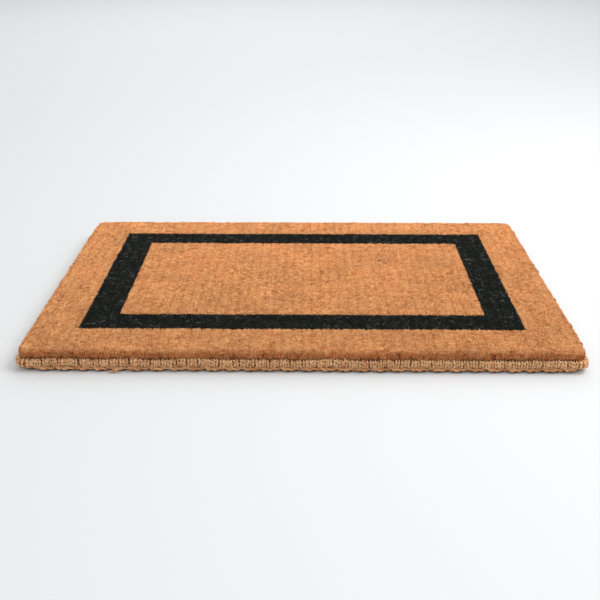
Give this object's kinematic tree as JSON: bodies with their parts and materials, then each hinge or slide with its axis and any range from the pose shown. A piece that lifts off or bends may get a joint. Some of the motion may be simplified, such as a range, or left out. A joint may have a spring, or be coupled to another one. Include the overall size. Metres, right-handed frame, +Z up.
{
  "type": "door mat",
  "caption": "Rectangular thick hand-woven coir door mat with a brush pile, an inlaid dark frame and a laced, plaited edge.",
  "frame": {"origin": "middle of the underside, on the floor", "axes": "+X along the mat's length to the right, +Y from the front edge to the back, +Z up out of the tread"},
  "size_m": [0.914, 0.61, 0.038],
  "materials": {
    "base_yarn": "coarse spun coir yarn",
    "plait_yarn": "plaited coir yarn",
    "lacing_yarn": "two-ply coir yarn",
    "natural_pile": "cut coir brush, natural",
    "dark_pile": "cut coir brush, dyed black"
  },
  "bodies": {
    "root": {"weft_yarns": "base_yarn", "chain_yarns_lower": "base_yarn", "chain_yarns_upper": "base_yarn", "heading_cord_left": "base_yarn", "heading_cord_right": "base_yarn", "selvedge_cord_front": "base_yarn", "selvedge_cord_back": "base_yarn", "plait_strand_lower": "plait_yarn", "plait_strand_middle": "plait_yarn", "plait_strand_upper": "plait_yarn", "lacing_front": "lacing_yarn", "lacing_back": "lacing_yarn", "lacing_left": "lacing_yarn", "lacing_right": "lacing_yarn", "lacing_knot": "lacing_yarn", "pile_border_left": "natural_pile", "pile_border_right": "natural_pile", "pile_border_front": "natural_pile", "pile_border_back": "natural_pile", "pile_centre": "natural_pile", "pile_frame_left": "dark_pile", "pile_frame_right": "dark_pile", "pile_frame_front": "dark_pile", "pile_frame_back": "dark_pile"}
  },
  "joints": []
}
